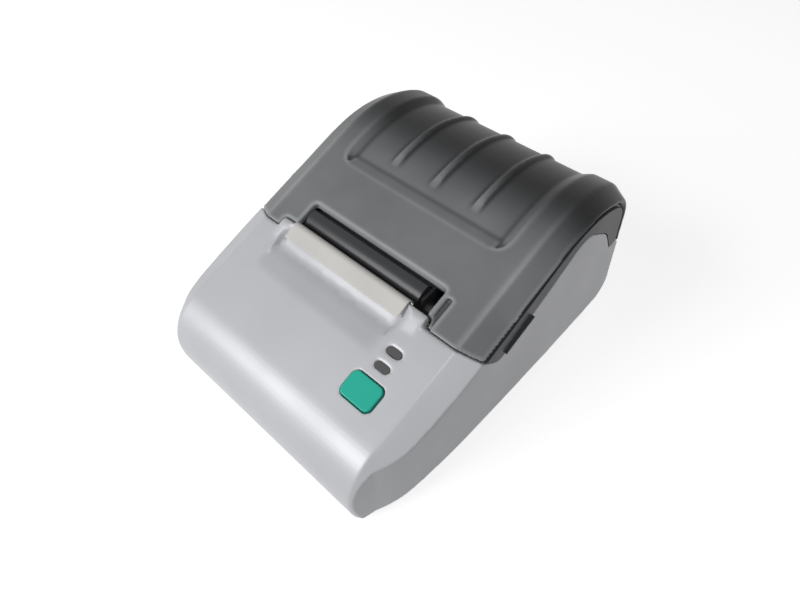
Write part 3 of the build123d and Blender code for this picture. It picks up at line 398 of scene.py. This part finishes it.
def ringed(name, colour, axis):
    """A papery finish with fine rings about an axis along X."""
    material = fibrous(name, colour)
    tree = material.node_tree
    tint = colour_between(tree, ring_wave(tree, axis), shade(colour, ring_dark), shade(colour, ring_light))
    tree.links.new(tint, tree.nodes["Principled BSDF"].inputs["Base Color"])
    return material


paper_tone = (0.67, 0.655, 0.625)
roll_axis = (0.0, 36.5, 30.8)
paper = fibrous("thermal_paper", paper_tone)
roll_paper = ringed("roll_paper", paper_tone, roll_axis)
card = fibrous("card", (0.42, 0.30, 0.19))

# %% Finish every CAD piece
finish_of = {
    "silver_plastic": silver,
    "smoke_plastic": smoke,
    "slate_plastic": slate,
    "black_plastic": black,
    "gloss_black": gloss_black,
    "green_key": green,
    "smoke_lens": lens,
    "white_gear": white_gear,
    "steel": steel,
    "zinc_screw": zinc,
    "tin_plate": tin_plate,
    "aluminium": aluminium,
    "ceramic": ceramic,
    "soft_rubber": soft_rubber,
    "platen_rubber": platen_rubber,
    "paper": paper,
    "card": card,
    "board": board_green,
    "lamp": lamp_resin,
    "flex": copper_flex,
}
finish_of_node = {
    "paper_roll": roll_paper,
    "platen_bracket": dark_steel,
}
for part in frame["record"]["subparts"]:
    node = nodes[part["node"]]
    finish = finish_of_node.get(part["node"], finish_of[part["material_slot"]])
    node.data.materials.clear()
    node.data.materials.append(finish)
print("finishes:", len(finish_of) + len(finish_of_node))

# %% [markdown]
# ## Rounded shells
#
# The real cover and housing are mouldings with no sharp edge on them: the sunken panel, the three raised
# lines and the long chamfers all run into each other through small radii. Exact CAD edges look cut from
# sheet beside that. So a copy of each piece is merged, rebuilt as one even skin of small squares, and
# smoothed until its edges are round. A skin of the housing has a great many faces, so most of them are
# dropped again.

# %% Helpers for an even skin
merge_reach = 0.005
relax_factor = 0.5


def merged_copy(node, name):
    """A loose copy of a CAD piece with its doubled points merged."""
    mesh = bmesh.new()
    mesh.from_mesh(nodes[node].data)
    bmesh.ops.remove_doubles(mesh, verts=mesh.verts, dist=merge_reach * mm)
    data = bpy.data.meshes.new(name + "_merged")
    mesh.to_mesh(data)
    mesh.free()
    copy = bpy.data.objects.new(name + "_merged", data)
    bpy.context.scene.collection.objects.link(copy)
    return copy


def even_skin(copy, grid, passes, keep):
    """A copy's mesh in squares of one size, smoothed, of which a share of the faces is kept."""
    skin = copy.modifiers.new("skin", "REMESH")
    skin.mode = "VOXEL"
    skin.voxel_size = grid * mm
    relax = copy.modifiers.new("relax", "SMOOTH")
    relax.factor = relax_factor
    relax.iterations = passes
    if keep < 1.0:
        fewer = copy.modifiers.new("fewer", "DECIMATE")
        fewer.ratio = keep
    return bpy.data.meshes.new_from_object(copy.evaluated_get(bpy.context.evaluated_depsgraph_get()))


def softened(node, name, body, grid, passes, keep=1.0):
    """A CAD piece as one even skin with its edges rounded by smoothing; grid in millimetres."""
    copy = merged_copy(node, name)
    soft = even_skin(copy, grid, passes, keep)
    bpy.data.objects.remove(copy)
    soft.name = name
    for face in soft.polygons:
        face.use_smooth = True
    soft.materials.clear()
    soft.materials.append(nodes[node].data.materials[0])
    piece = bpy.data.objects.new(name, soft)
    bpy.context.scene.collection.objects.link(piece)
    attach(piece, body)
    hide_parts(node)
    print(name, "faces:", len(soft.polygons))
    return piece


# %% [markdown]
# ### The cover's top
#
# Each point of the cover's skin stores how far it stands out of its neighbours. The smoky finish reads that
# number under the name relief and uses it to paint shade into hollows and a little painted highlight onto
# edges.

# %% Round the cover and mark its relief
relief_blur = 2


def mark_relief(data):
    """Stores how far each point stands out of its neighbours, in millimetres; hollows are negative."""
    mesh = bmesh.new()
    mesh.from_mesh(data)
    mesh.verts.index_update()
    mesh.verts.ensure_lookup_table()
    near = [[edge.other_vert(point).index for edge in point.link_edges] for point in mesh.verts]
    heights = []
    for point, around in zip(mesh.verts, near):
        middle = sum((mesh.verts[k].co for k in around), Vector()) / len(around)
        heights.append((point.co - middle).dot(point.normal) / mm)
    mesh.free()
    for _ in range(relief_blur):
        heights = [(heights[k] + sum(heights[j] for j in around)) / (len(around) + 1)
                   for k, around in enumerate(near)]
    layer = data.attributes.new("relief", "FLOAT", "POINT")
    layer.data.foreach_set("value", heights)
    print("relief:", round(min(heights), 3), "to", round(max(heights), 3), "mm")


cover_top = softened("cover_shell", "cover_top", "cover", 0.59, 5)
mark_relief(cover_top.data)

# %% [markdown]
# ### The housing's lip
#
# The lip and the scoop under the paper are softer in the photograph than in the CAD piece. So the skin is
# smoothed once more around them. Then the lip's front wall is moved rearwards under the paper, and the
# scoop in front of it is made deeper. Both moves fade out towards the left and the right.

# %% Helpers for the lip
# All sizes are in millimetres. The deck's plane rises from a known point by a fixed share of the way back,
# and only what lies above a skin under that plane belongs to the scoop.
tuck_fade = 2.5
scoop_left = -36.0
scoop_right = 25.5
scoop_fade = 5.0
scoop_front = -42.0
scoop_deepest = -30.0
scoop_rear = -27.0
scoop_depth = 1.5
deck_y = -25.5
deck_z = 50.229
deck_rise = 0.404
deck_skin = 5.0


def smooth_inside(data, box, passes):
    """Smooths the points of a mesh that lie inside a box given in millimetres."""
    low, high = box
    mesh = bmesh.new()
    mesh.from_mesh(data)
    inside = [v for v in mesh.verts if all(a * mm < p < b * mm for a, p, b in zip(low, v.co, high))]
    for _ in range(passes):
        bmesh.ops.smooth_vert(mesh, verts=inside, factor=relax_factor,
                              use_axis_x=True, use_axis_y=True, use_axis_z=True)
    mesh.to_mesh(data)
    mesh.free()


def tuck(data, box, shift):
    """Moves the points inside a box rearwards, most at its middle; sizes in millimetres."""
    low, high = box
    middle = (low[1] + high[1]) / 2
    reach = (high[1] - low[1]) / 2
    for point in data.vertices:
        x, y, z = point.co / mm
        if low[0] < x < high[0] and low[1] < y < high[1] and low[2] < z < high[2]:
            share = 1 - abs(y - middle) / reach
            ends = min(x - low[0], high[0] - x, tuck_fade) / tuck_fade
            point.co.y += shift * mm * share * (2 - share) * ends


def sink_scoop(data):
    """Deepens the scoop under the paper's torn end."""
    for point in data.vertices:
        x, y, z = point.co / mm
        above_deck = z - (deck_z + (y - deck_y) * deck_rise)
        if not (scoop_left < x < scoop_right and scoop_front < y < scoop_rear and -deck_skin < above_deck):
            continue
        along = min((y - scoop_front) / (scoop_deepest - scoop_front),
                    (scoop_rear - y) / (scoop_rear - scoop_deepest))
        ends = min(x - scoop_left, scoop_right - x, scoop_fade) / scoop_fade
        point.co.z -= scoop_depth * mm * along * ends * (2 - ends)


# %% Round the housing
lip_box = ((-48, -43, 38), (44, -21, 58))
lip_passes = 10
under_paper = ((-36.0, -34.5, 44), (27.0, -23, 58))
lip_set_back = 2.9

housing = softened("body_shell", "housing", "base", 0.45, 3, keep=0.31)
smooth_inside(housing.data, lip_box, lip_passes)
tuck(housing.data, under_paper, lip_set_back)
sink_scoop(housing.data)

# %% [markdown]
# ## The receipt
#
# The loose end of the paper comes up behind the lip, bends over it and lies forward on the deck. Its
# end was torn against the steel strip, so it is finely toothed. The strip is built as a grid: rows run
# across the paper and follow its path in the side view, and the last row steps up and down to make the
# torn teeth.

# %% The paper's path
platen_y = -15.0
platen_z = 43.5
wrap_radius = 5.63
wrap_start = 237.85
roll_touch = (24.645, 11.936)
platen_touch = (-17.996, 38.733)
rise_top = 50.5
bend_radius = 2.3
bend_turn = 122.0
tail_length = 5.3
tail_lift = 0.18
paper_left = -33.0
paper_right = 24.5
straight_steps = 12
wrap_steps = 14
rise_steps = 5
bend_steps = 16
tail_steps = 8


def arc_points(centre, radius, start, turn, steps):
    """Points on an arc in the side view; angles in degrees, a negative turn is clockwise."""
    points = []
    for k in range(steps + 1):
        angle = radians(start + turn * k / steps)
        points.append((centre[0] + radius * cos(angle), centre[1] + radius * sin(angle)))
    return points


def paper_path():
    """The side view of the paper, from the roll to the torn end, in millimetres."""
    path = [tuple(a + (b - a) * k / straight_steps for a, b in zip(roll_touch, platen_touch))
            for k in range(straight_steps)]
    path += arc_points((platen_y, platen_z), wrap_radius, wrap_start, 180 - wrap_start, wrap_steps)
    front = platen_y - wrap_radius
    path += [(front, platen_z + (rise_top - platen_z) * k / rise_steps) for k in range(1, rise_steps)]
    path += arc_points((front - bend_radius, rise_top), bend_radius, 0, bend_turn, bend_steps)
    last = path[-1]
    slope = radians(bend_turn + 90)
    for k in range(1, tail_steps + 1):
        along = tail_length * k / tail_steps
        lift = tail_lift * (k / tail_steps) ** 2
        path.append((last[0] + along * cos(slope) - lift * 0.5, last[1] + along * sin(slope) + lift))
    return path


# %% Build the receipt
tooth_pitch = 1.0
tooth_depth = 0.35
paper_thickness = 0.08


def receipt():
    """The loose paper as a thin grid with a torn end."""
    path = paper_path()
    columns = int((paper_right - paper_left) / (tooth_pitch / 2))
    rows = len(path)
    mesh = bmesh.new()
    grid = []
    for k, (y, z) in enumerate(path):
        row = []
        for j in range(columns + 1):
            x = paper_left + (paper_right - paper_left) * j / columns
            here = Vector((x, y, z))
            if k == rows - 1 and j % 2:
                back = Vector((0, path[-2][0] - y, path[-2][1] - z)).normalized()
                here += back * tooth_depth
            row.append(mesh.verts.new(here * mm))
        grid.append(row)
    for k in range(rows - 1):
        for j in range(columns):
            mesh.faces.new((grid[k][j], grid[k][j + 1], grid[k + 1][j + 1], grid[k + 1][j]))
    bmesh.ops.recalc_face_normals(mesh, faces=mesh.faces)
    data = bpy.data.meshes.new("receipt")
    mesh.to_mesh(data)
    mesh.free()
    data.materials.append(paper)
    for face in data.polygons:
        face.use_smooth = True
    piece = bpy.data.objects.new("receipt", data)
    bpy.context.scene.collection.objects.link(piece)
    thick = piece.modifiers.new("thickness", "SOLIDIFY")
    thick.thickness = paper_thickness * mm
    thick.offset = 0.0
    return piece


receipt_piece = receipt()
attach(receipt_piece, "base")
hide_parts("paper_web")
print("receipt faces:", len(receipt_piece.data.polygons))

# %% [markdown]
# ## Screws
#
# Fifteen small screws hold the printer together, in four groups. They are all the same shape: a low
# round head with a cross recess, on a plain shank. What repeats is best made once, so a Geometry Nodes
# tree builds one screw from named sizes and sets a copy on each point, turned the way its point faces.


# %% Helpers for node trees
def new_tree(name, sockets):
    """A Geometry Nodes tree with named inputs; returns the tree, its input node and its output node."""
    tree = bpy.data.node_groups.new(name, "GeometryNodeTree")
    tree.interface.new_socket("Geometry", in_out="INPUT", socket_type="NodeSocketGeometry")
    for label, kind in sockets:
        tree.interface.new_socket(label, in_out="INPUT", socket_type=kind)
    tree.interface.new_socket("Geometry", in_out="OUTPUT", socket_type="NodeSocketGeometry")
    return tree, tree.nodes.new("NodeGroupInput"), tree.nodes.new("NodeGroupOutput")


def add_node(tree, kind, values=None, **settings):
    """A node with its settings, its fixed values and its links from other sockets."""
    node = tree.nodes.new(kind)
    for label, value in settings.items():
        setattr(node, label, value)
    for label, value in (values or {}).items():
        if isinstance(value, bpy.types.NodeSocket):
            tree.links.new(value, node.inputs[label])
        else:
            node.inputs[label].default_value = value
    return node


def set_on_points(tree, given, output, shape, turn=None):
    """Sets a copy of a shape on each given point, turned if asked, in the given finish."""
    values = {"Points": given.outputs["Geometry"], "Instance": shape}
    if turn is not None:
        values["Rotation"] = turn
    copies = add_node(tree, "GeometryNodeInstanceOnPoints", values)
    solid = add_node(tree, "GeometryNodeRealizeInstances", {"Geometry": copies.outputs[0]})
    dressed = add_node(tree, "GeometryNodeSetMaterial", {
        "Geometry": solid.outputs[0],
        "Material": given.outputs["Finish"],
    })
    tree.links.new(dressed.outputs[0], output.inputs["Geometry"])


def grow(name, points, tree, inputs, facing=None):
    """Runs a tree on loose points and returns the result as a plain mesh object."""
    mesh = bpy.data.meshes.new(name + "_points")
    mesh.from_pydata([Vector(point) * mm for point in points], [], [])
    if facing:
        layer = mesh.attributes.new("facing", "FLOAT_VECTOR", "POINT")
        for k, direction in enumerate(facing):
            layer.data[k].vector = direction
    seed = bpy.data.objects.new(name + "_points", mesh)
    bpy.context.scene.collection.objects.link(seed)
    modifier = seed.modifiers.new("grow", "NODES")
    modifier.node_group = tree
    sockets = {item.name: item.identifier for item in tree.interface.items_tree if item.in_out == "INPUT"}
    for label, value in inputs.items():
        modifier[sockets[label]] = value
    grown = bpy.data.meshes.new_from_object(seed.evaluated_get(bpy.context.evaluated_depsgraph_get()))
    bpy.data.objects.remove(seed)
    piece = bpy.data.objects.new(name, grown)
    grown.name = name
    bpy.context.scene.collection.objects.link(piece)
    print(name, "faces:", len(grown.polygons))
    return piece


# %% The screw tree
# The recess is measured in shares of the head's radius and height.
recess_length = 1.25
recess_width = 0.26
recess_centre = 0.95


def raised(tree, mesh, size, share):
    """A mesh moved along Z by a share of a size."""
    offset = add_node(tree, "ShaderNodeCombineXYZ", {"Z": times(tree, size, share)})
    placed = add_node(tree, "GeometryNodeTransform", {"Geometry": mesh, "Translation": offset.outputs[0]})
    return placed.outputs[0]


def screw_head(tree, radius, height):
    """A low round head with a cross recess."""
    disc = add_node(tree, "GeometryNodeMeshCylinder", {"Vertices": 40, "Radius": radius, "Depth": height})
    cut = add_node(tree, "GeometryNodeMeshBoolean", operation="DIFFERENCE")
    tree.links.new(raised(tree, disc.outputs["Mesh"], height, 0.5), cut.inputs["Mesh 1"])
    long_side = times(tree, radius, recess_length)
    short_side = times(tree, radius, recess_width)
    for first, second in ((long_side, short_side), (short_side, long_side)):
        size = add_node(tree, "ShaderNodeCombineXYZ", {"X": first, "Y": second, "Z": height})
        cube = add_node(tree, "GeometryNodeMeshCube", {"Size": size.outputs[0]})
        tree.links.new(raised(tree, cube.outputs["Mesh"], height, recess_centre), cut.inputs["Mesh 2"])
    return cut.outputs["Mesh"]


def screw_tree():
    """One cross-recessed screw on each point, its head towards the point's facing."""
    tree, given, output = new_tree("screw_rows", [
        ("Head radius", "NodeSocketFloat"),
        ("Head height", "NodeSocketFloat"),
        ("Shank radius", "NodeSocketFloat"),
        ("Shank length", "NodeSocketFloat"),
        ("Finish", "NodeSocketMaterial"),
    ])
    head = screw_head(tree, given.outputs["Head radius"], given.outputs["Head height"])
    length = given.outputs["Shank length"]
    shank = add_node(tree, "GeometryNodeMeshCylinder", {
        "Vertices": 24,
        "Radius": given.outputs["Shank radius"],
        "Depth": length,
    })
    whole = add_node(tree, "GeometryNodeJoinGeometry")
    tree.links.new(raised(tree, shank.outputs["Mesh"], length, -0.5), whole.inputs[0])
    tree.links.new(head, whole.inputs[0])
    facing = add_node(tree, "GeometryNodeInputNamedAttribute", {"Name": "facing"}, data_type="FLOAT_VECTOR")
    towards = {"Vector": facing.outputs["Attribute"]}
    turn = add_node(tree, "FunctionNodeAlignRotationToVector", towards, axis="Z")
    set_on_points(tree, given, output, whole.outputs[0], turn.outputs[0])
    return tree


# %% Place the screws
deck_slope = radians(22.0)


def on_deck(x, y, depth):
    """A point under the sloping deck, in millimetres; y is where its normal meets the deck."""
    height = deck_z + (y - deck_y) * sin(deck_slope) / cos(deck_slope)
    return (x, y + depth * sin(deck_slope), height - depth * cos(deck_slope))


screws = screw_tree()
up = (0, 0, 1)
down = (0, 0, -1)
into_deck = (0, sin(deck_slope), -cos(deck_slope))


def screw_group(name, node, body, points, facings, head, shank):
    """A group of screws that stands for a CAD node; head and shank are (radius, length) in millimetres."""
    sizes = {
        "Head radius": head[0] * mm,
        "Head height": head[1] * mm,
        "Shank radius": shank[0] * mm,
        "Shank length": shank[1] * mm,
        "Finish": zinc,
    }
    piece = grow(name, points, screws, sizes, facings)
    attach(piece, body)
    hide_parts(node)


case_points = [(46.0, -54.0, 2.45), (-46.0, -54.0, 2.45), (47.6, 50.0, 2.45), (-47.6, 50.0, 2.45)]
screw_group("case_screw_heads", "case_screws", "base", case_points, [down] * 4, (2.7, 0.9), (1.1, 10.1))
frame_points = [(x, y, 2.45) for x in (-31.0, 24.5) for y in (-24.5, -12.5)]
screw_group("frame_screw_heads", "frame_screws", "base", frame_points, [down] * 4, (1.9, 0.9), (0.9, 8.1))
holder_points = [on_deck(x, -4.0, 7.6) for x in (-28.0, 20.0)]
screw_group("holder_screw_heads", "holder_screws", "cover", holder_points, [into_deck] * 2,
            (1.9, 1.0), (0.95, 4.5))
board_points = [on_deck(21.9, y, 7.2) for y in (-37.0, -58.5)]
board_points += [(31.5, -26.5, 6.0), (40.5, 40.0, 6.0), (-30.5, 58.5, 6.0)]
board_facings = [into_deck] * 2 + [up] * 3
screw_group("board_screw_heads", "board_screws", "base", board_points, board_facings,
            (1.8, 0.8), (0.9, 3.3))

# %% [markdown]
# ## Head springs
#
# Two small compression springs press the print head against the platen. A spring is a wire that follows a
# spiral, so the tree draws a spiral curve and sweeps a round wire along it.


# %% Coil springs
def spring_tree():
    """A coil of round wire on each point, its axis along the printer."""
    tree, given, output = new_tree("coil_springs", [
        ("Turns", "NodeSocketFloat"),
        ("Coil radius", "NodeSocketFloat"),
        ("Length", "NodeSocketFloat"),
        ("Wire radius", "NodeSocketFloat"),
        ("Finish", "NodeSocketMaterial"),
    ])
    spiral = add_node(tree, "GeometryNodeCurveSpiral", {
        "Resolution": 24,
        "Rotations": given.outputs["Turns"],
        "Start Radius": given.outputs["Coil radius"],
        "End Radius": given.outputs["Coil radius"],
        "Height": given.outputs["Length"],
    })
    wire = add_node(tree, "GeometryNodeCurvePrimitiveCircle", {
        "Resolution": 10,
        "Radius": given.outputs["Wire radius"],
    })
    coil = add_node(tree, "GeometryNodeCurveToMesh", {
        "Curve": spiral.outputs[0],
        "Profile Curve": wire.outputs[0],
        "Fill Caps": True,
    })
    lying = add_node(tree, "GeometryNodeTransform", {
        "Geometry": coil.outputs[0],
        "Rotation": (pi / 2, 0, 0),
    })
    set_on_points(tree, given, output, lying.outputs[0])
    return tree


spring_sizes = {
    "Turns": 4.0,
    "Coil radius": 1.5 * mm,
    "Length": 3.6 * mm,
    "Wire radius": 0.22 * mm,
    "Finish": steel,
}
spring_points = [(-20.0, -24.29, 41.0), (12.0, -24.29, 41.0)]
springs = grow("head_coils", spring_points, spring_tree(), spring_sizes)
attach(springs, "base")
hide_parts("head_springs")
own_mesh(springs)
